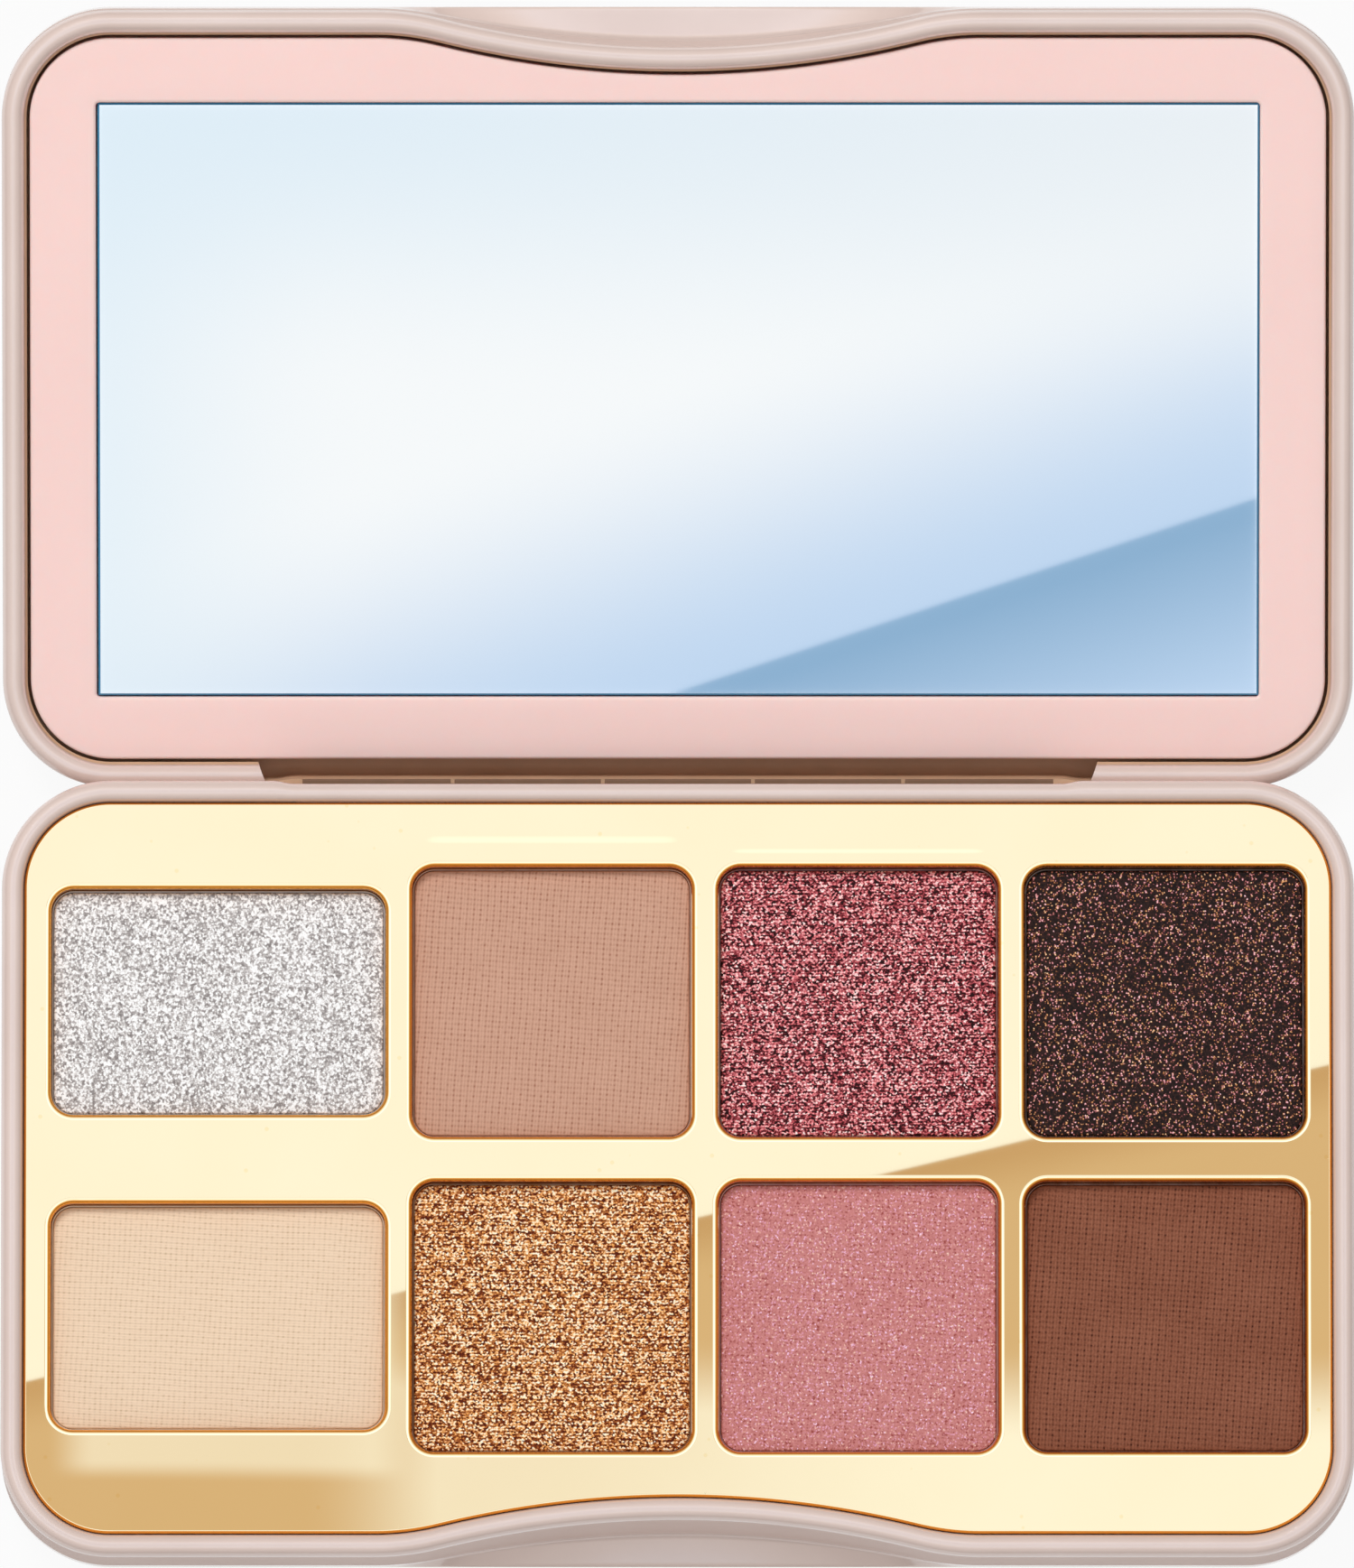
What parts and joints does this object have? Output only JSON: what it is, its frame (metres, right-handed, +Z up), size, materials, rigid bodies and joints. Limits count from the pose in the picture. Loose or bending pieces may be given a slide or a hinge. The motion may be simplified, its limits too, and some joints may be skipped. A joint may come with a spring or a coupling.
{
  "type": "eyeshadow palette",
  "caption": "Open hinged tin of pressed eyeshadows: powder pans in a gold tray, a mirror in the lid, rolled rims and a thumb scoop at the front.",
  "frame": {"origin": "centre of the base's underside", "axes": "+X along the hinge to the right, +Y from the base's front to the lid, +Z up"},
  "size_m": [0.108, 0.1235, 0.0207],
  "materials": {
    "taupe_lacquer": "glossy taupe-pink lacquer on tinplate",
    "gold_tray": "plastic with a mirror-bright gold metallised skin",
    "tinplate": "bare drawn tinplate",
    "glue": "hot-melt glue",
    "foam_tape": "double-sided foam tape",
    "pink_plastic": "satin moulded plastic",
    "mirror_glass": "silvered flat glass",
    "clear_tape": "double-sided film tape",
    "hinge_steel": "lacquered thin steel",
    "powder_silver": "pressed powder with coarse silver glitter",
    "powder_tan": "matte pressed powder with a fine cloth weave",
    "powder_red": "pressed powder with a fine metallic shimmer",
    "powder_dark": "dark pressed powder with scattered coloured glitter",
    "powder_cream": "matte pressed powder with a fine cloth weave",
    "powder_copper": "pressed powder with a copper metallic shimmer",
    "powder_rose": "pressed powder with fine pink sparkle",
    "powder_brown": "matte pressed powder with a fine cloth weave"
  },
  "bodies": {
    "base": {"base_shell": "taupe_lacquer", "pan_tray": "gold_tray", "pan_silver": "tinplate", "pan_tan": "tinplate", "pan_red": "tinplate", "pan_dark": "tinplate", "pan_cream": "tinplate", "pan_copper": "tinplate", "pan_rose": "tinplate", "pan_brown": "tinplate", "cake_silver": "powder_silver", "cake_tan": "powder_tan", "cake_red": "powder_red", "cake_dark": "powder_dark", "cake_cream": "powder_cream", "cake_copper": "powder_copper", "cake_rose": "powder_rose", "cake_brown": "powder_brown", "glue_silver": "glue", "glue_tan": "glue", "glue_red": "glue", "glue_dark": "glue", "glue_cream": "glue", "glue_copper": "glue", "glue_rose": "glue", "glue_brown": "glue", "tray_tape_rear": "foam_tape", "tray_tape_front": "foam_tape", "base_hinge_leaf": "hinge_steel", "hinge_pin": "hinge_steel"},
    "lid": {"lid_shell": "taupe_lacquer", "mirror_frame": "pink_plastic", "mirror": "mirror_glass", "mirror_tape": "clear_tape", "frame_tape_left": "clear_tape", "frame_tape_right": "clear_tape", "lid_hinge_leaf": "hinge_steel"}
  },
  "joints": [
    {"name": "lid_hinge", "type": "hinge", "parent": "base", "child": "lid", "pos_m": [0, 0.03087, 0.00695], "axis": [1, 0, 0], "range_deg": [0, 165.01]}
  ]
}
